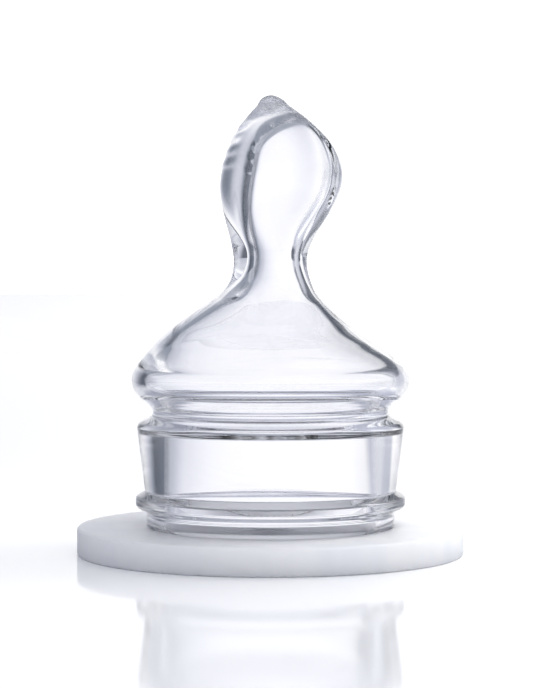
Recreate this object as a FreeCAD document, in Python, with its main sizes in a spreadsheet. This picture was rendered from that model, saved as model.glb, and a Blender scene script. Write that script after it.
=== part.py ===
import FreeCAD, Part
import os
from math import pi, sin
from FreeCAD import Placement, Rotation, Vector
import Sketcher

# Orthodontic silicone feeding teat for a narrow-neck baby bottle, in millimetres.
# +Z runs from the flat underside of the base flange up to the feeding tip; the origin is the centre of
# that underside. +X points to the fuller, palate side of the bulb and -X to its flatter tongue side.
# Four pieces: the glass-clear nipple, the glass-clear shoulder with its keyed foot, the frosted base
# flange moulded round that foot, and the small flap of the air vent in the flange's underside. Nipple and
# shoulder are one moulding on the real object, and are parted here where the neck bends.

doc = FreeCAD.newDocument("feeding_teat")

# Driving dimensions

DIMENSIONS = {
    # base flange
    "flange_radius": 19.0,
    "flange_height": 2.7,
    "flange_top_round": 0.3,
    "flange_foot_round": 0.25,
    # collar, with the keyed foot that holds the flange
    "collar_radius": 12.2,
    "key_reach": 0.5,
    "key_low": 0.9,
    "key_high": 1.8,
    # bead that the screw ring snaps under
    "bead_radius": 13.25,
    "bead_low": 4.2,
    "bead_high": 6.15,
    "bead_chamfer": 0.5,
    "bead_round": 0.4,
    # band between the bead and the groove
    "band_foot_radius": 12.35,
    "band_top_radius": 13.15,
    "band_top": 12.75,
    "band_round": 0.7,
    # groove under the shoulder
    "groove_radius": 11.1,
    "groove_level": 13.8,
    "groove_round": 0.6,
    # shoulder and the cone above it
    "shoulder_corner_radius": 14.7,
    "shoulder_level": 17.1,
    "shoulder_round": 2.2,
    "cone_break_radius": 10.9,
    "cone_break_level": 20.5,
    # neck
    "neck_radius": 3.6,
    "neck_corner_level": 26.25,
    "neck_round": 6.2,
    "neck_level": 29.4,
    # spherical parting between nipple and shoulder, centred on the neck's bending axis
    "hinge_level": 25.6,
    "parting_radius": 4.8,
    "parting_gap": 0.25,
    "parting_floor": 28.0,
    # bulb, outside
    "bulb_level": 36.6,
    "bulb_half_depth": 6.0,
    "bulb_half_width": 7.0,
    "bulb_lean": 1.15,
    "tip_level": 45.2,
    # cavity, from the mouth up
    "mouth_radius": 10.45,
    "inner_band_top": 12.0,
    "inner_band_round": 0.15,
    "throat_radius": 9.5,
    "throat_level": 12.72,
    "throat_round": 0.25,
    "throat_top_radius": 10.3,
    "throat_top_level": 14.6,
    "throat_top_round": 0.8,
    "inner_underside_radius": 11.7,
    "inner_underside_level": 16.0,
    "inner_underside_round": 0.3,
    "inner_shoulder_radius": 13.1,
    "inner_shoulder_level": 16.9,
    "inner_shoulder_round": 1.1,
    "bore_radius": 1.95,
    "bore_corner_level": 26.4,
    "bore_round": 6.0,
    "bore_level": 29.4,
    "inner_bulb_level": 36.6,
    "inner_half_depth": 3.7,
    "inner_half_width": 4.3,
    "inner_lean": 1.45,
    "inner_tip_level": 42.0,
    "feed_hole_radius": 0.15,
    # air vent in the flange, on the +Y side
    "vent_centre": 14.2,
    "vent_hole_radius": 0.6,
    "pocket_length": 3.8,
    "pocket_width": 2.2,
    "pocket_depth": 1.35,
    "flap_length": 3.3,
    "flap_width": 1.7,
    "flap_thickness": 0.4,
    "flap_gap": 0.03,
    "hinge_gap": 0.2,
}

sheet = doc.addObject("Spreadsheet::Sheet", "dims")
for row, (alias, value) in enumerate(DIMENSIONS.items(), 1):
    sheet.set(f"A{row}", alias)
    sheet.set(f"B{row}", str(value))
    sheet.setAlias(f"B{row}", alias)
doc.recompute()


def size(alias):
    """A driving dimension, read back from the sheet."""
    return float(getattr(sheet, alias))


# Helpers


def plane_of(body, role):
    return next(f for f in body.Origin.OriginFeatures if f.Role == role)


def new_body(name):
    body = doc.addObject("PartDesign::Body", name)
    body.Label = name
    return body


def outline_sketch(body, name, role, corners):
    """A closed outline whose corners are pairs of expressions over the sheet, each held by two dimensions.

    A third item names the radius that rounds the corner, with the corner kept as a point.
    """
    sketch = body.newObject("Sketcher::SketchObject", name)
    sketch.AttachmentSupport = (plane_of(body, role), [""])
    sketch.MapMode = "FlatFace"
    points = [Vector(sheet.evalExpression(c[0]), sheet.evalExpression(c[1]), 0) for c in corners]
    count = len(points)
    for i in range(count):
        sketch.addGeometry(Part.LineSegment(points[i], points[(i + 1) % count]), False)
    for i in range(count):
        sketch.addConstraint(Sketcher.Constraint("Coincident", i, 2, (i + 1) % count, 1))
    held = []
    for i, corner in enumerate(corners):
        for kind, value, expression in (
            ("DistanceX", points[i].x, corner[0]),
            ("DistanceY", points[i].y, corner[1]),
        ):
            sketch.addConstraint(Sketcher.Constraint(kind, -1, 1, i, 1, value))
            held.append(expression)
    for number, expression in enumerate(held, count):
        if expression != "0":
            sketch.setExpression(f"Constraints[{number}]", expression)
    for i, corner in enumerate(corners):
        if len(corner) == 3:
            sketch.fillet(i, 1, size(corner[2]), True, True)
            arc = sketch.GeometryCount - 2
            number = sketch.addConstraint(Sketcher.Constraint("Radius", arc, size(corner[2])))
            sketch.setExpression(f"Constraints[{number}]", f"dims.{corner[2]}")
    return sketch


def turned(body, name, corners):
    """Turns a half section, drawn in the XZ plane, about the Z axis."""
    sketch = outline_sketch(body, name + "_section", "XZ_Plane", corners)
    feature = body.newObject("PartDesign::Revolution", name)
    feature.Profile = sketch
    feature.ReferenceAxis = (sketch, ["V_Axis"])
    feature.Angle = 360
    doc.recompute()
    return feature


def ease(share):
    """A smooth step from 0 to 1."""
    return share * share * (3 - 2 * share)


def circle(name, level, radius):
    """A level circle about the Z axis; level and radius are expressions."""
    ring = doc.addObject("Part::Circle", name)
    ring.Placement = Placement(Vector(0, 0, 0), Rotation(Vector(0, 0, 1), 90))
    ring.setExpression("Radius", radius)
    ring.setExpression("Placement.Base.z", level)
    return ring


def ellipse(name, centre_x, level, half_depth, half_width):
    """A level ellipse, half_depth along X and half_width along Y; all four are expressions."""
    ring = doc.addObject("Part::Ellipse", name)
    ring.Placement = Placement(Vector(0, 0, 0), Rotation(Vector(0, 0, 1), 90))
    ring.MajorRadius = 100
    ring.setExpression("MinorRadius", half_depth)
    ring.setExpression("MajorRadius", half_width)
    ring.setExpression("Placement.Base.x", centre_x)
    ring.setExpression("Placement.Base.z", level)
    return ring


RISE_STEPS = 6
TIP_SHARES = (0.2, 0.4, 0.56, 0.7, 0.81, 0.9, 0.97)
WIDTH_POINTEDNESS = 0.6


def lean_share(level):
    """How far the bulb leans to its palate side at a level: none at the neck and the tip, most between."""
    share = (level - size("neck_level")) / (size("tip_level") - size("neck_level"))
    return sin(pi * min(max(share, 0), 1) ** 1.2) ** 1.2


def bulb_rings(name, start, middle, top, lean, quickness, pointedness):
    """Rings of the bulb: an even swell from the neck, then a tip that closes as (1 - u^2) to a power.

    start is (level, radius), middle is (level, half depth, half width) and top is a level, all names in
    the sheet. Below 1, quickness swells sooner above the neck.
    """
    low, radius = start
    level, depth, width = middle
    rings = [circle(f"{name}_neck", f"dims.{low}", f"dims.{radius}")]

    def add(label, base, reach, share, half_depth, half_width):
        height = size(base) + (size(reach) - size(base)) * share
        rings.append(
            ellipse(
                f"{name}_{label}",
                f"dims.{lean} * {lean_share(height):.5f}",
                f"dims.{base} + (dims.{reach} - dims.{base}) * {share:.5f}",
                half_depth,
                half_width,
            )
        )

    for i in range(RISE_STEPS):
        share = (i + 1) / RISE_STEPS
        grown = ease(share**quickness)
        half_depth = f"dims.{radius} + (dims.{depth} - dims.{radius}) * {grown:.5f}"
        half_width = f"dims.{radius} + (dims.{width} - dims.{radius}) * {grown:.5f}"
        add(f"rise_{i}", low, level, share, half_depth, half_width)
    width_pointedness = min(pointedness, WIDTH_POINTEDNESS)
    for i, share in enumerate(TIP_SHARES):
        left = 1 - share * share
        half_depth = f"dims.{depth} * {left**pointedness:.5f}"
        half_width = f"dims.{width} * {left**width_pointedness:.5f}"
        add(f"tip_{i}", level, top, share, half_depth, half_width)
    return rings


def lofted(name, rings):
    feature = doc.addObject("Part::Loft", name)
    feature.Sections = rings
    feature.Solid = True
    feature.Ruled = False
    feature.Closed = False
    doc.recompute()
    return feature


def cut(name, base, tool):
    feature = doc.addObject("Part::Cut", name)
    feature.Label = name
    feature.Base = base
    feature.Tool = tool
    doc.recompute()
    return feature


def joined(name, shapes):
    feature = doc.addObject("Part::MultiFuse", name)
    feature.Shapes = shapes
    doc.recompute()
    return feature


# Clear teat


def teat_outside():
    """Solid outer form up to the neck: keyed foot, collar, bead, band, groove, shoulder and cone."""
    body = new_body("teat_outside")
    corners = [
        ("0", "0"),
        ("dims.collar_radius", "0"),
        ("dims.collar_radius", "dims.key_low"),
        ("dims.collar_radius + dims.key_reach", "dims.key_low"),
        ("dims.collar_radius + dims.key_reach", "dims.key_high"),
        ("dims.collar_radius", "dims.key_high"),
        ("dims.collar_radius", "dims.bead_low"),
        ("dims.bead_radius", "dims.bead_low + dims.bead_chamfer", "bead_round"),
        ("dims.bead_radius", "dims.bead_high - dims.bead_chamfer", "bead_round"),
        ("dims.band_foot_radius", "dims.bead_high"),
        ("dims.band_top_radius", "dims.band_top", "band_round"),
        ("dims.groove_radius", "dims.groove_level", "groove_round"),
        ("dims.shoulder_corner_radius", "dims.shoulder_level", "shoulder_round"),
        ("dims.cone_break_radius", "dims.cone_break_level"),
        ("dims.neck_radius", "dims.neck_corner_level", "neck_round"),
        ("dims.neck_radius", "dims.neck_level"),
        ("0", "dims.neck_level"),
    ]
    turned(body, "outside", corners)
    return body


def teat_cavity():
    """The milk space up to the neck, as a solid to take away."""
    body = new_body("teat_cavity")
    corners = [
        ("0", "0"),
        ("dims.mouth_radius", "0"),
        ("dims.mouth_radius", "dims.inner_band_top", "inner_band_round"),
        ("dims.throat_radius", "dims.throat_level", "throat_round"),
        ("dims.throat_top_radius", "dims.throat_top_level", "throat_top_round"),
        ("dims.inner_underside_radius", "dims.inner_underside_level", "inner_underside_round"),
        ("dims.inner_shoulder_radius", "dims.inner_shoulder_level", "inner_shoulder_round"),
        ("dims.bore_radius", "dims.bore_corner_level", "bore_round"),
        ("dims.bore_radius", "dims.bore_level"),
        ("0", "dims.bore_level"),
    ]
    turned(body, "cavity", corners)
    return body


def feed_hole():
    """The small round hole through the tip's wall."""
    hole = doc.addObject("Part::Cylinder", "feed_hole")
    hole.setExpression("Radius", "dims.feed_hole_radius")
    hole.setExpression("Height", "dims.tip_level - dims.inner_bulb_level")
    hole.setExpression("Placement.Base.z", "dims.inner_bulb_level + 1")
    return hole


def whole_teat():
    """The clear moulding in one piece, before it is parted at the neck."""
    outer_bulb = lofted(
        "outer_bulb",
        bulb_rings(
            "outer",
            ("neck_level", "neck_radius"),
            ("bulb_level", "bulb_half_depth", "bulb_half_width"),
            "tip_level",
            "bulb_lean",
            0.8,
            0.92,
        ),
    )
    inner_bulb = lofted(
        "inner_bulb",
        bulb_rings(
            "inner",
            ("bore_level", "bore_radius"),
            ("inner_bulb_level", "inner_half_depth", "inner_half_width"),
            "inner_tip_level",
            "inner_lean",
            1.0,
            0.5,
        ),
    )
    outer = joined("teat_form", [teat_outside(), outer_bulb])
    hollow = joined("milk_space", [teat_cavity(), inner_bulb, feed_hole()])
    return cut("whole_teat", outer, hollow)


def ball(name, radius):
    """A ball centred on the neck's bending axis; radius is an expression."""
    feature = doc.addObject("Part::Sphere", name)
    feature.setExpression("Radius", radius)
    feature.setExpression("Placement.Base.z", "dims.hinge_level")
    return feature


def parted_teat():
    """Nipple and shoulder, parted by two balls about one centre so that the nipple can tilt on the neck."""
    teat = whole_teat()
    above = doc.addObject("Part::Box", "above_parting")
    above.setExpression("Length", "4 * dims.bulb_half_width")
    above.setExpression("Width", "4 * dims.bulb_half_width")
    above.setExpression("Height", "dims.tip_level")
    above.setExpression("Placement.Base.x", "-2 * dims.bulb_half_width")
    above.setExpression("Placement.Base.y", "-2 * dims.bulb_half_width")
    above.setExpression("Placement.Base.z", "dims.parting_floor")
    taken = cut("beyond_ball", above, ball("parting_ball", "dims.parting_radius"))
    shoulder = cut("shoulder", teat, taken)
    blank = doc.addObject("Part::Common", "nipple_blank")
    blank.Base = teat
    blank.Tool = above
    nipple = cut("nipple", blank, ball("clearance_ball", "dims.parting_radius + dims.parting_gap"))
    return nipple, shoulder


# Frosted base flange


def base_flange():
    """Ring moulded round the collar's keyed foot, with the air vent's pocket and hole on its +Y side."""
    body = new_body("base_flange")
    corners = [
        ("dims.collar_radius", "0"),
        ("dims.flange_radius", "0", "flange_foot_round"),
        ("dims.flange_radius", "dims.flange_height", "flange_top_round"),
        ("dims.collar_radius", "dims.flange_height"),
        ("dims.collar_radius", "dims.key_high"),
        ("dims.collar_radius + dims.key_reach", "dims.key_high"),
        ("dims.collar_radius + dims.key_reach", "dims.key_low"),
        ("dims.collar_radius", "dims.key_low"),
    ]
    turned(body, "ring", corners)

    half = "dims.pocket_length / 2"
    near = "dims.vent_centre - dims.pocket_width / 2"
    far = "dims.vent_centre + dims.pocket_width / 2"
    outline = outline_sketch(
        body,
        "pocket_outline",
        "XY_Plane",
        [(f"-{half}", near), (half, near), (half, far), (f"-{half}", far)],
    )
    pocket = body.newObject("PartDesign::Pocket", "vent_pocket")
    pocket.Profile = outline
    pocket.Reversed = True
    pocket.setExpression("Length", "dims.pocket_depth")
    doc.recompute()

    ring = body.newObject("Sketcher::SketchObject", "vent_outline")
    ring.AttachmentSupport = (plane_of(body, "XY_Plane"), [""])
    ring.MapMode = "FlatFace"
    centre = Vector(size("pocket_length") / 4, size("vent_centre"), 0)
    ring.addGeometry(Part.Circle(centre, Vector(0, 0, 1), size("vent_hole_radius")), False)
    held = (
        ("Radius", (0, size("vent_hole_radius")), "dims.vent_hole_radius"),
        ("DistanceX", (-1, 1, 0, 3, centre.x), "dims.pocket_length / 4"),
        ("DistanceY", (-1, 1, 0, 3, centre.y), "dims.vent_centre"),
    )
    for kind, values, expression in held:
        number = ring.addConstraint(Sketcher.Constraint(kind, *values))
        ring.setExpression(f"Constraints[{number}]", expression)
    hole = body.newObject("PartDesign::Pocket", "vent_hole")
    hole.Profile = ring
    hole.Reversed = True
    hole.Type = 1  # through all
    doc.recompute()
    return body


# Vent flap


def vent_flap():
    """Thin flap that lies against the pocket's ceiling and swings down about its -X end to let air in."""
    body = new_body("vent_flap")
    start = "-dims.pocket_length / 2 + dims.hinge_gap"
    end = "-dims.pocket_length / 2 + dims.hinge_gap + dims.flap_length"
    near = "dims.vent_centre - dims.flap_width / 2"
    far = "dims.vent_centre + dims.flap_width / 2"
    outline = outline_sketch(
        body, "flap_outline", "XY_Plane", [(start, near), (end, near), (end, far), (start, far)]
    )
    outline.setExpression(
        "AttachmentOffset.Base.z", "dims.pocket_depth - dims.flap_gap - dims.flap_thickness"
    )
    pad = body.newObject("PartDesign::Pad", "flap")
    pad.Profile = outline
    pad.setExpression("Length", "dims.flap_thickness")
    doc.recompute()
    reach = -size("pocket_length") / 2 + size("hinge_gap") + size("flap_length")
    ends = [
        f"Edge{number}"
        for number, edge in enumerate(pad.Shape.Edges, 1)
        if abs(edge.CenterOfMass.x - reach) < 1e-6 and abs(edge.tangentAt(0).z) > 0.99
    ]
    nose = body.newObject("PartDesign::Fillet", "nose_round")
    nose.Base = (pad, ends)
    nose.setExpression("Radius", "dims.flap_width * 0.4")
    doc.recompute()
    return body


# Build, check and write

PIECES = [*parted_teat(), base_flange(), vent_flap()]
doc.recompute()

for thing in doc.Objects:
    if "Invalid" in thing.State or "Error" in thing.State:
        raise RuntimeError(f"{thing.Name} failed: {thing.State}")

os.makedirs("parts", exist_ok=True)
for piece in PIECES:
    shape = piece.Shape
    if shape.isNull() or not shape.isValid() or not shape.Solids:
        raise RuntimeError(f"{piece.Label} has no valid solid")
    shape.exportStep(f"parts/{piece.Label}.step")
    box = shape.BoundBox
    print(
        f"{piece.Label}: {len(shape.Solids)} solid, {shape.Volume:.1f} mm3, "
        f"x {box.XMin:.2f} to {box.XMax:.2f}, y {box.YMin:.2f} to {box.YMax:.2f}, "
        f"z {box.ZMin:.2f} to {box.ZMax:.2f}"
    )
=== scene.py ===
import math

import bmesh
import bpy
import numpy as np
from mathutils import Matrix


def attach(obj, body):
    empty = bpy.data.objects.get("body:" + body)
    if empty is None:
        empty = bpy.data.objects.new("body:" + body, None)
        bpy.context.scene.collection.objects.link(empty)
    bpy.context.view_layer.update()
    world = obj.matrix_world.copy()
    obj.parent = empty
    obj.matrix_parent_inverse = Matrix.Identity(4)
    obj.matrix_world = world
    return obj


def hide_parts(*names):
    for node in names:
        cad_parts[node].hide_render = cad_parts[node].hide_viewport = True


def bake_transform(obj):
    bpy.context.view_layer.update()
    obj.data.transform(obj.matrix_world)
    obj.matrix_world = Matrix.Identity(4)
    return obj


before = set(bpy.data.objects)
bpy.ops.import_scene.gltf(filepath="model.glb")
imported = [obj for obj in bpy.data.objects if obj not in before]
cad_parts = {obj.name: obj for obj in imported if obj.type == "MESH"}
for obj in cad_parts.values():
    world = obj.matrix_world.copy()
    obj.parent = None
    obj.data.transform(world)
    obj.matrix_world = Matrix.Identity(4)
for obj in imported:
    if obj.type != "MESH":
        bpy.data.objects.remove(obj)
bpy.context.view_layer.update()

# Orthodontic silicone teat of a narrow-neck baby bottle. The clear teat is one closed surface, from the
# rim of its mouth up the outside to the tip, through the feed hole and down the inside.

mm = 0.001
degree = math.radians(1)


def linear(hexColour):
    # sRGB hex to linear light
    parts = [int(hexColour[i:i + 2], 16) / 255 for i in (1, 3, 5)]
    return tuple(c / 12.92 if c <= 0.04045 else ((c + 0.055) / 1.055) ** 2.4 for c in parts) + (1.0,)


def addNode(tree, kind, settings=None, inputs=None, **attributes):
    # one node; settings holds socket values and inputs the sockets to link, by name or by number
    node = tree.nodes.new(kind)
    for name, value in attributes.items():
        setattr(node, name, value)
    for name, value in (settings or {}).items():
        node.inputs[name].default_value = value
    for name, source in (inputs or {}).items():
        tree.links.new(source, node.inputs[name])
    return node


def rampOver(tree, stops, value, unit):
    # a colour ramp over a value; the stops are given in units of it
    places = sorted(stops)
    low, high = places[0], places[-1]
    share = addNode(tree, "ShaderNodeMapRange", {"From Min": low * unit, "From Max": high * unit},
                    {"Value": value})
    node = addNode(tree, "ShaderNodeValToRGB", inputs={"Fac": share.outputs["Result"]})
    elements = node.color_ramp.elements
    elements[0].position, elements[0].color = 0.0, linear(stops[low])
    elements[1].position, elements[1].color = 1.0, linear(stops[high])
    for place in places[1:-1]:
        elements.new((place - low) / (high - low)).color = linear(stops[place])
    return node.outputs["Color"]


def newMaterial(name):
    material = bpy.data.materials.new(name)
    material.use_nodes = True
    material.node_tree.nodes.clear()
    return material, material.node_tree


def smoothStep(t):
    # t^2 (3 - 2t), with t held between 0 and 1
    t = np.clip(t, 0, 1)
    return t * t * (3 - 2 * t)


def gridMesh(name, points):
    # points[i, j] closes in both directions; quads turn so that their faces look outward
    rows, columns = points.shape[:2]
    i, j = np.meshgrid(np.arange(rows), np.arange(columns), indexing="ij")
    a = i * columns + j
    b = i * columns + (j + 1) % columns
    c = (i + 1) % rows * columns + (j + 1) % columns
    d = (i + 1) % rows * columns + j
    quads = np.stack([a, b, c, d], -1).reshape(-1, 4)
    mesh = bpy.data.meshes.new(name)
    mesh.from_pydata((points.reshape(-1, 3) * mm).tolist(), [], quads.tolist())
    mesh.polygons.foreach_set("use_smooth", np.ones(len(quads), bool))
    mesh.update()
    piece = bpy.data.objects.new(name, mesh)
    bpy.context.collection.objects.link(piece)
    return piece


def roundedRun(corners, spacing):
    # corners are (radius, level, rounding); each rounding is an arc tangent to both of its runs, and the
    # runs between are cut to about the spacing
    corners = np.array(corners, float)
    spots = corners[:, :2]
    line = []
    for k in range(len(corners)):
        here, rounding = spots[k], corners[k, 2]
        if rounding == 0:
            stretch = here[None]
        else:
            back = spots[k - 1] - here
            ahead = spots[k + 1] - here
            back /= np.linalg.norm(back)
            ahead /= np.linalg.norm(ahead)
            half = math.acos(np.clip(back @ ahead, -1, 1)) / 2
            reach = rounding / math.tan(half)
            middle = here + (back + ahead) / np.linalg.norm(back + ahead) * rounding / math.sin(half)
            start, end = here + back * reach, here + ahead * reach
            turn = math.pi - 2 * half
            steps = max(5, int(turn / math.radians(7)))  # one for about every 7 degrees
            share = np.linspace(0, 1, steps + 1)[:, None]
            stretch = (np.sin((1 - share) * turn) * (start - middle)
                       + np.sin(share * turn) * (end - middle)) / math.sin(turn) + middle
        if line:
            gap = stretch[0] - line[-1][-1]
            count = int(np.linalg.norm(gap) / spacing)
            if count > 1:
                share = np.arange(1, count)[:, None] / count
                line.append(line[-1][-1] + gap * share)
        line.append(stretch)
    return np.concatenate(line)


# teat: one clear moulding, with its outer skin, the feed hole, its inner skin and the mouth's rim;
# lengths in millimetres

teat = {
    "columns": 260,  # points around a ring
    "spacing": 0.45,  # between rings, along the two outlines
    # outer outline from the underside up to the neck: radius, level, rounding
    "outside": [
        (10.45, 0.0, 0), (12.25, 0.0, 0), (12.25, 2.65, 0), (12.2, 2.65, 0), (12.2, 4.2, 0),
        (13.25, 4.7, 0.4), (13.25, 5.65, 0.4), (12.35, 6.15, 0.15),
        (13.15, 12.75, 0.7), (11.1, 13.8, 0.6), (14.7, 17.1, 2.2),
        (10.9, 20.5, 9.0), (3.6, 26.2, 5.0), (3.6, 28.7, 0),
    ],
    # inner outline from the mouth up to the bore
    "inside": [
        (10.45, 0.0, 0), (10.45, 12.0, 0.15), (9.5, 12.72, 0.25), (10.3, 14.6, 0.8),
        (11.7, 16.0, 0.3), (13.1, 16.9, 1.1), (1.95, 26.4, 6.0), (1.95, 29.4, 0),
    ],
    # the cone leans to the tongue side: how far, at which level, and over how much below and above it
    "coneLean": {"reach": -0.85, "level": 21.8, "below": 3.6, "above": 5.4},
    # bulb: where it starts and how wide, its widest ring's level, half depth and half width, its top, how
    # fast it swells, how pointed it is in depth and in width, how much blunter its cap is, how squared its
    # section is, and how far its section turns about the vertical, in degrees
    "outerBulb": {"rows": 150, "start": 28.7, "radius": 3.6, "middle": 36.6, "depth": 6.0, "width": 7.0,
                  "top": 44.95, "quickness": 0.95, "point": 0.92, "pointWide": 0.75, "capRound": 0.25,
                  "square": 0.0, "turn": 0.0},
    "innerBulb": {"rows": 80, "start": 29.4, "radius": 1.95, "middle": 36.6, "depth": 3.7, "width": 4.3,
                  "top": 42.0, "quickness": 1.0, "point": 0.5, "pointWide": 0.5, "capRound": 0.0,
                  "square": 1.3, "turn": 12.0},
    "capFrom": 0.28,  # the cap is where 1 - u^2 is under this
    # how far the outer and the inner bulb stand off the axis, to the palate side
    "outerLean": {"reach": 1.15, "low": 29.4, "high": 45.2, "power": 1.2},
    "innerLean": {"neck": 0.35, "neckFrom": 20.0, "neckOver": 5.0,
                  "bulb": 1.1, "bulbFrom": 31.0, "bulbOver": 7.5},
    "feedHole": 0.15,  # radius
    # ribs of the tongue side: height, spacing, first and last level, where they dip and how they curve,
    # and how they fade along the bulb and, in radians from the tongue side, around it
    "ribs": {"height": 0.1, "pitch": 1.3, "bottom": 37.3, "top": 41.9, "lowest": 0.5, "bend": 0.9,
             "bottomOver": 0.8, "topPast": 0.6, "topOver": 0.5,
             "sideFrom": -0.1, "sideTo": 0.95, "fromOver": 0.3, "toOver": 0.4},
}


def bulbRings(bulb, lean):
    # level, half depth, half width, lean, squareness and turn of each ring: an even swell from the neck to
    # the widest ring, then a tip that closes as (1 - u^2) to a power, down to the feed hole
    rows = bulb["rows"]
    span = bulb["top"] - bulb["middle"]
    share = math.sqrt(1 - (teat["feedHole"] / bulb["depth"]) ** (1 / (bulb["point"] - bulb["capRound"])))
    levels = np.concatenate([
        np.linspace(bulb["start"], bulb["middle"], rows // 2, endpoint=False),
        bulb["middle"] + span * share * np.sin(np.linspace(0, math.pi / 2, rows - rows // 2)),
    ])
    rise = smoothStep(np.clip((levels - bulb["start"]) / (bulb["middle"] - bulb["start"]), 0, 1)
                      ** bulb["quickness"])
    left = 1 - np.clip((levels - bulb["middle"]) / span, 0, 1) ** 2
    point = bulb["point"] - bulb["capRound"] * smoothStep(1 - left / teat["capFrom"])
    depth = (bulb["radius"] + (bulb["depth"] - bulb["radius"]) * rise) * left ** point
    width = (bulb["radius"] + (bulb["width"] - bulb["radius"]) * rise) * left ** bulb["pointWide"]
    square = 2 + bulb["square"] * rise * left ** 0.5
    turn = math.radians(bulb["turn"]) * rise
    return np.stack([levels, depth, width, lean(levels), square, turn], -1)


def outerLean(levels):
    # reach * sin(pi t^power)^power, with t the share of the way from the low to the high level
    lean = teat["outerLean"]
    share = np.clip((levels - lean["low"]) / (lean["high"] - lean["low"]), 0, 1)
    return lean["reach"] * np.sin(math.pi * share ** lean["power"]) ** lean["power"]


def innerLean(levels):
    # neck and bulb are each a reach times a smooth step that starts at "From" and lasts for "Over"
    lean = teat["innerLean"]
    return (lean["neck"] * smoothStep((levels - lean["neckFrom"]) / lean["neckOver"])
            + lean["bulb"] * smoothStep((levels - lean["bulbFrom"]) / lean["bulbOver"]))


def gripRibs(levels, angle):
    # low waves on the tongue side: height times a cosine of the level, curved up toward the front, and
    # faded out around their patch
    ribs = teat["ribs"]
    side = angle - math.pi
    bend = ribs["bend"] * (side - ribs["lowest"]) ** 2
    wave = 0.5 + 0.5 * np.cos(2 * math.pi * (levels - bend - ribs["top"]) / ribs["pitch"])
    around = (smoothStep((side - ribs["sideFrom"]) / ribs["fromOver"])
              * smoothStep((ribs["sideTo"] - side) / ribs["toOver"]))
    along = (smoothStep((levels - ribs["bottom"]) / ribs["bottomOver"])
             * smoothStep((ribs["top"] + ribs["topPast"] - levels) / ribs["topOver"]))
    return ribs["height"] * wave * around * along


def turnedRings(corners, neckLean):
    # rings of a turned outline, moved off the axis by the neck's lean and, over the cone, by
    # reach * (1 - smoothStep(distance from the cone's level))
    line = roundedRun(corners, teat["spacing"])
    lean = teat["coneLean"]
    away = line[:, 1] - lean["level"]
    away /= np.where(away < 0, lean["below"], lean["above"])
    bump = lean["reach"] * (1 - smoothStep(np.abs(away))) + neckLean(line[:, 1])
    even = np.zeros(len(line))
    return np.stack([line[:, 1], line[:, 0], line[:, 0], bump, even + 2, even], -1)


def teatSurface():
    # point(i, angle) = (lean + radius cos angle, radius sin angle, level), with the radius of an ellipse
    # whose power 2 may rise to square it, over the loop of rings
    outer = turnedRings(teat["outside"], outerLean)
    inner = turnedRings(teat["inside"], innerLean)
    outerTip = bulbRings(teat["outerBulb"], outerLean)
    innerTip = bulbRings(teat["innerBulb"], innerLean)
    share = np.array([[0.25], [0.5], [0.75]])  # rings within the feed hole
    bore = outerTip[-1] + (innerTip[-1] - outerTip[-1]) * share
    rings = np.concatenate([outer, outerTip[1:], bore, innerTip[1:][::-1], inner[1:][::-1]])
    angle = np.linspace(0, 2 * math.pi, teat["columns"], endpoint=False)
    level, depth, width, lean, square, turn = (rings[:, k, None] for k in range(6))
    radius = ((np.abs(np.cos(angle - turn)) / depth) ** square
              + (np.abs(np.sin(angle - turn)) / width) ** square) ** (-1 / square)
    outside = len(outer) + len(outerTip) - 1
    radius[:outside] += gripRibs(level[:outside], angle)
    return np.stack([lean + radius * np.cos(angle), radius * np.sin(angle), level + 0 * angle], -1)


teatPiece = gridMesh("clear_teat", teatSurface())
print("teat", len(teatPiece.data.polygons), "quads")


# base flange and vent flap: copies of their solids, with doubled points merged and curved faces smooth;
# an edge that turns by more than sharpAbove stays sharp

sharpAbove = 30 * degree


def mergedCopy(node, name):
    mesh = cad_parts[node].data.copy()
    work = bmesh.new()
    work.from_mesh(mesh)
    bmesh.ops.remove_doubles(work, verts=work.verts, dist=0.001 * mm)
    for face in work.faces:
        face.smooth = True
    for edge in work.edges:
        edge.smooth = edge.calc_face_angle(0) < sharpAbove
    work.to_mesh(mesh)
    work.free()
    mesh.materials.clear()
    piece = bpy.data.objects.new(name, mesh)
    bpy.context.collection.objects.link(piece)
    return piece


flangePiece = mergedCopy("base_flange", "frosted_flange")
flapPiece = mergedCopy("vent_flap", "air_vent_flap")
print("flange and flap")


# materials; lengths in their dictionaries are in millimetres

silicone = {
    "ior": 1.41, "colour": "#fdfdff",
    "polished": 0.015, "satin": 0.2, "satinFrom": 40.5, "satinTo": 43.2,
    "cloudSize": 3.0, "cloudRoughness": 0.012,
    "peelSize": 2.4, "peelDepth": 0.002,
}

frosting = {
    "colour": "#fdfdff",
    "veil": "#eef0f5", "veilSize": 7.0, "veilHeight": 0.15, "veilFrom": 0.35, "veilTo": 0.65,
    "grainSize": 0.35, "grainDepth": 0.012,
    "roughLow": 0.28, "roughHigh": 0.42,
    "haze": 4.0, "hazeWeight": 0.8, "clearWeight": 0.2,
}


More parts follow.
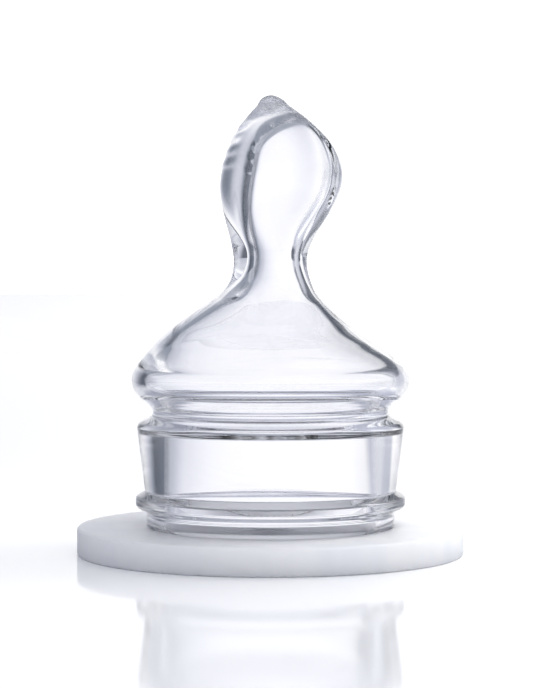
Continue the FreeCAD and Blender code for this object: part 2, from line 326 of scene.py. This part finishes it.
def clearSilicone():
    # liquid silicone rubber from a polished mould: clear as glass with a bright skin, turning satin
    # toward the tip, where the mould is only stoned; the skin is very slightly uneven
    material, tree = newMaterial("clear liquid silicone, polished mould")
    place = addNode(tree, "ShaderNodeTexCoord")
    height = addNode(tree, "ShaderNodeSeparateXYZ", inputs={"Vector": place.outputs["Object"]})
    satin = addNode(tree, "ShaderNodeMapRange", {
        "From Min": silicone["satinFrom"] * mm, "From Max": silicone["satinTo"] * mm,
        "To Min": silicone["polished"], "To Max": silicone["satin"]},
        {"Value": height.outputs["Z"]}, interpolation_type="SMOOTHSTEP")
    cloud = addNode(tree, "ShaderNodeTexNoise", {"Scale": 1 / (silicone["cloudSize"] * mm), "Detail": 3.0},
                    {"Vector": place.outputs["Object"]})
    finish = addNode(tree, "ShaderNodeMath", {1: silicone["cloudRoughness"]},
                     {0: cloud.outputs["Fac"], 2: satin.outputs["Result"]}, operation="MULTIPLY_ADD")
    peel = addNode(tree, "ShaderNodeTexNoise", {"Scale": 1 / (silicone["peelSize"] * mm), "Detail": 1.0},
                   {"Vector": place.outputs["Object"]})
    skin = addNode(tree, "ShaderNodeBump", {"Strength": 1.0, "Distance": silicone["peelDepth"] * mm},
                   {"Height": peel.outputs["Fac"]})
    shader = addNode(tree, "ShaderNodeBsdfPrincipled", {
        "Base Color": linear(silicone["colour"]), "IOR": silicone["ior"], "Transmission Weight": 1.0},
        {"Roughness": finish.outputs[0], "Normal": skin.outputs[0]})
    addNode(tree, "ShaderNodeOutputMaterial", inputs={"Surface": shader.outputs[0]})
    return material


def frostedSilicone(name):
    # silicone from an etched mould: milky, so light spreads inside it, with a satin grained skin; the grain
    # of the etching is drawn coarser than the real 0.05 mm so that it shows
    material, tree = newMaterial(name)
    place = addNode(tree, "ShaderNodeTexCoord")
    drawn = addNode(tree, "ShaderNodeMapping", {"Scale": (1, 1, frosting["veilHeight"])},
                    {"Vector": place.outputs["Object"]})
    patch = addNode(tree, "ShaderNodeTexNoise", {"Scale": 1 / (frosting["veilSize"] * mm), "Detail": 2.0},
                    {"Vector": drawn.outputs["Vector"]})
    amount = addNode(tree, "ShaderNodeMapRange", {
        "From Min": frosting["veilFrom"], "From Max": frosting["veilTo"]},
        {"Value": patch.outputs["Fac"]})
    milk = addNode(tree, "ShaderNodeMix", {"A": linear(frosting["colour"]), "B": linear(frosting["veil"])},
                   {"Factor": amount.outputs["Result"]}, data_type="RGBA")
    grain = addNode(tree, "ShaderNodeTexNoise", {"Scale": 1 / (frosting["grainSize"] * mm), "Detail": 2.0},
                    {"Vector": place.outputs["Object"]})
    sheen = addNode(tree, "ShaderNodeMapRange", {
        "To Min": frosting["roughLow"], "To Max": frosting["roughHigh"]},
        {"Value": grain.outputs["Fac"]})  # rougher on the grains' tops
    skin = addNode(tree, "ShaderNodeBump", {"Strength": 1.0, "Distance": frosting["grainDepth"] * mm},
                   {"Height": grain.outputs["Fac"]})
    shader = addNode(tree, "ShaderNodeBsdfPrincipled", {
        "IOR": silicone["ior"], "Transmission Weight": frosting["clearWeight"],
        "Subsurface Weight": frosting["hazeWeight"], "Subsurface Radius": (1, 1, 1),
        "Subsurface Scale": frosting["haze"] * mm},
        {"Base Color": milk.outputs["Result"], "Roughness": sheen.outputs["Result"],
         "Normal": skin.outputs[0]})
    addNode(tree, "ShaderNodeOutputMaterial", inputs={"Surface": shader.outputs[0]})
    return material


teatPiece.data.materials.append(clearSilicone())
flangePiece.data.materials.append(frostedSilicone("milky silicone, etched mould"))
flapPiece.data.materials.append(frostedSilicone("milky silicone flap, trimmed film"))
print("materials")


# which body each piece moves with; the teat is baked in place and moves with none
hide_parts("nipple", "shoulder")
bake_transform(teatPiece)
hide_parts("base_flange")
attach(flangePiece, "teat_body")
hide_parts("vent_flap")
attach(flapPiece, "vent")


# studio: a white glossy floor and a bright field with grey bands; lengths in metres, the lens and sensor
# in millimetres, angles in degrees

studio = {
    "floorSize": 3.0, "floorSunk": 0.00002, "floorWhite": (0.93, 0.93, 0.93, 1), "floorRoughness": 0.08,
    "floorIor": 1.49,
    # painted shade that the silicone picks up from the floor: a darker left end and a painted shadow ring
    # around the teat's foot, by millimetres across and away
    "floorShadeAcross": {-150: "#6a707c", -60: "#f7f7f7"},
    "floorShadowAway": {0: "#ffffff", 13: "#ffffff", 20: "#9a9da8", 46: "#9a9da8", 80: "#ffffff"},
    # what the silicone shows of the field, by degrees around from straight behind, low down and high up
    "aroundLow": {
        -180: "#e6e7ec", -150: "#c4c7d0", -115: "#d8dae1", -66: "#c4c7d0", -60: "#6e7480", -34: "#4c525c",
        -27: "#868c98", -22: "#b0b3be", -17: "#c4c7d0", -12: "#e1e2e8", -8: "#eeeff3", -4: "#f8f8fa",
        0: "#fafafc", 10: "#ffffff", 18: "#ffffff", 24: "#b8bbc6", 36: "#b8bbc6", 44: "#d2d4db",
        62: "#d2d4db", 70: "#4c525c", 94: "#5a606c", 104: "#dcdde4", 150: "#eeeff3", 180: "#e6e7ec"},
    "aroundHigh": {
        -180: "#d2d4db", -135: "#6a707c", -110: "#4c525c", -80: "#b8bbc6", -60: "#a4a8b3", -48: "#b8bbc6",
        -40: "#8a909c", -20: "#868c98", -4: "#a4a8b3", 9: "#a4a8b3", 14: "#565c66", 32: "#4c525c",
        42: "#b8bbc6", 60: "#d6d8de", 100: "#b8bbc6", 140: "#dcdde2", 180: "#d2d4db"},
    # the high part starts between these heights, and lower by the drop on the right
    "highFrom": 14.5, "highTo": 17.5, "dropFrom": 13.0, "dropTo": 18.0, "drop": 7.0,
    "fieldStrength": 1.14,
    # the soft light on everything matt, around and by height
    "softAround": {
        -180: "#e6e7ec", -140: "#b8bbc6", -90: "#acafba", -30: "#e0e1e6", 60: "#ffffff", 120: "#ffffff",
        180: "#e6e7ec"},
    "softUpward": {-90: "#ffffff", 0: "#d2d4da", 25: "#e6e7ec", 50: "#ffffff", 90: "#ffffff"},
    "softStrength": 1.5,
    # a small light that lifts the flange's right side
    "sidePower": 0.04, "sideSize": 0.05, "sidePlace": (0.052, 0.02, 0.055), "sideTilt": (-10.0, 40.0),
    "cameraDistance": 0.243, "cameraLevel": 0.0296, "cameraSide": 0.0004, "cameraPitch": 2.13,
    "lens": 129.5, "sensor": 36,
}


def studioFloor():
    # white acrylic sheet, polished: a bright, soft-edged mirror; the camera and matt surfaces meet it plain
    # white, and the silicone meets the painted shade of floorShadeAcross and floorShadowAway, a darker left
    # end and a painted shadow ring around the foot
    mesh = bpy.data.meshes.new("studio_floor")
    half = studio["floorSize"] / 2
    down = -studio["floorSunk"]
    corners = [(-half, -half, down), (half, -half, down), (half, half, down), (-half, half, down)]
    mesh.from_pydata(corners, [], [(0, 1, 2, 3)])
    piece = bpy.data.objects.new("studio_floor", mesh)
    bpy.context.collection.objects.link(piece)
    material, tree = newMaterial("white acrylic sheet, polished")
    place = addNode(tree, "ShaderNodeTexCoord").outputs["Object"]
    across = addNode(tree, "ShaderNodeSeparateXYZ", inputs={"Vector": place})
    away = addNode(tree, "ShaderNodeVectorMath", inputs={0: place}, operation="LENGTH")
    # painted shade, seen only through and off the silicone: the floor darker toward its left end, times a
    # painted shadow ring around the teat's foot
    shade = addNode(tree, "ShaderNodeMix", {"Factor": 1.0}, {
        "A": rampOver(tree, studio["floorShadeAcross"], across.outputs["X"], mm),
        "B": rampOver(tree, studio["floorShadowAway"], away.outputs["Value"], mm)},
        data_type="RGBA", blend_type="MULTIPLY")
    rays = addNode(tree, "ShaderNodeLightPath")
    plainly = addNode(tree, "ShaderNodeMath", inputs={
        0: rays.outputs["Is Camera Ray"], 1: rays.outputs["Is Diffuse Ray"]}, operation="MAXIMUM")
    sheet = addNode(tree, "ShaderNodeMix", {"B": studio["floorWhite"]}, {
        "Factor": plainly.outputs[0], "A": shade.outputs["Result"]}, data_type="RGBA")
    shader = addNode(tree, "ShaderNodeBsdfPrincipled", {
        "Roughness": studio["floorRoughness"], "IOR": studio["floorIor"]},
        {"Base Color": sheet.outputs["Result"]})
    addNode(tree, "ShaderNodeOutputMaterial", inputs={"Surface": shader.outputs[0]})
    mesh.materials.append(material)
    return piece


def studioField():
    # the world: the camera sees plain white, matt surfaces get the soft light, and the silicone shows the
    # grey bands
    world = bpy.data.worlds.new("studio")
    bpy.context.scene.world = world
    world.use_nodes = True
    tree = world.node_tree
    tree.nodes.clear()
    where = addNode(tree, "ShaderNodeTexCoord")
    split = addNode(tree, "ShaderNodeSeparateXYZ", inputs={"Vector": where.outputs["Generated"]})
    turn = addNode(tree, "ShaderNodeMath", inputs={0: split.outputs["X"], 1: split.outputs["Y"]},
                   operation="ARCTAN2").outputs[0]
    lift = addNode(tree, "ShaderNodeMath", inputs={0: split.outputs["Z"]}, operation="ARCSINE").outputs[0]
    lower = addNode(tree, "ShaderNodeMapRange", {
        "From Min": studio["dropFrom"] * degree, "From Max": studio["dropTo"] * degree,
        "To Max": studio["drop"] * degree}, {"Value": turn}, interpolation_type="SMOOTHSTEP")
    height = addNode(tree, "ShaderNodeMath", inputs={0: lift, 1: lower.outputs["Result"]}, operation="ADD")
    rise = addNode(tree, "ShaderNodeMapRange", {
        "From Min": studio["highFrom"] * degree, "From Max": studio["highTo"] * degree},
        {"Value": height.outputs[0]}, interpolation_type="SMOOTHSTEP")
    bands = addNode(tree, "ShaderNodeMix", inputs={
        "Factor": rise.outputs["Result"],
        "A": rampOver(tree, studio["aroundLow"], turn, degree),
        "B": rampOver(tree, studio["aroundHigh"], turn, degree)}, data_type="RGBA")
    shaped = addNode(tree, "ShaderNodeBackground", {"Strength": studio["fieldStrength"]},
                     {"Color": bands.outputs["Result"]})
    soft = addNode(tree, "ShaderNodeMix", {"Factor": 1.0}, {
        "A": rampOver(tree, studio["softAround"], turn, degree),
        "B": rampOver(tree, studio["softUpward"], lift, degree)}, data_type="RGBA", blend_type="MULTIPLY")
    rays = addNode(tree, "ShaderNodeLightPath")
    clean = addNode(tree, "ShaderNodeMix", {"B": (1, 1, 1, 1)}, {
        "Factor": rays.outputs["Is Camera Ray"], "A": soft.outputs["Result"]}, data_type="RGBA")
    plain = addNode(tree, "ShaderNodeBackground", {"Strength": studio["softStrength"]},
                    {"Color": clean.outputs["Result"]})
    direct = addNode(tree, "ShaderNodeMath", inputs={
        0: rays.outputs["Is Camera Ray"], 1: rays.outputs["Diffuse Depth"]},
        operation="MAXIMUM", use_clamp=True)
    mix = addNode(tree, "ShaderNodeMixShader", inputs={
        0: direct.outputs[0], 1: shaped.outputs[0], 2: plain.outputs[0]})
    addNode(tree, "ShaderNodeOutputWorld", inputs={"Surface": mix.outputs[0]})


def sideLight():
    # seen by matt surfaces only
    light = bpy.data.objects.new("side_light", bpy.data.lights.new("side_light", "AREA"))
    bpy.context.collection.objects.link(light)
    light.data.size = studio["sideSize"]
    light.data.energy = studio["sidePower"]
    light.location = studio["sidePlace"]
    back, over = studio["sideTilt"]
    light.rotation_euler = (back * degree, over * degree, 0)
    light.visible_glossy = False
    light.visible_transmission = False
    light.visible_camera = False


def studioCamera():
    camera = bpy.data.objects.new("camera", bpy.data.cameras.new("camera"))
    bpy.context.collection.objects.link(camera)
    camera.data.lens = studio["lens"]
    camera.data.sensor_width = studio["sensor"]
    camera.location = (studio["cameraSide"], -studio["cameraDistance"], studio["cameraLevel"])
    camera.rotation_euler = ((90 - studio["cameraPitch"]) * degree, 0, 0)
    bpy.context.scene.camera = camera


floor = studioFloor()
studioField()
sideLight()
studioCamera()

# light passes many walls of the silicone before it gets out
scene = bpy.context.scene
scene.view_settings.view_transform = "Standard"
scene.cycles.max_bounces = 32
scene.cycles.transmission_bounces = 32
scene.cycles.glossy_bounces = 12
scene.cycles.diffuse_bounces = 16
print("studio")
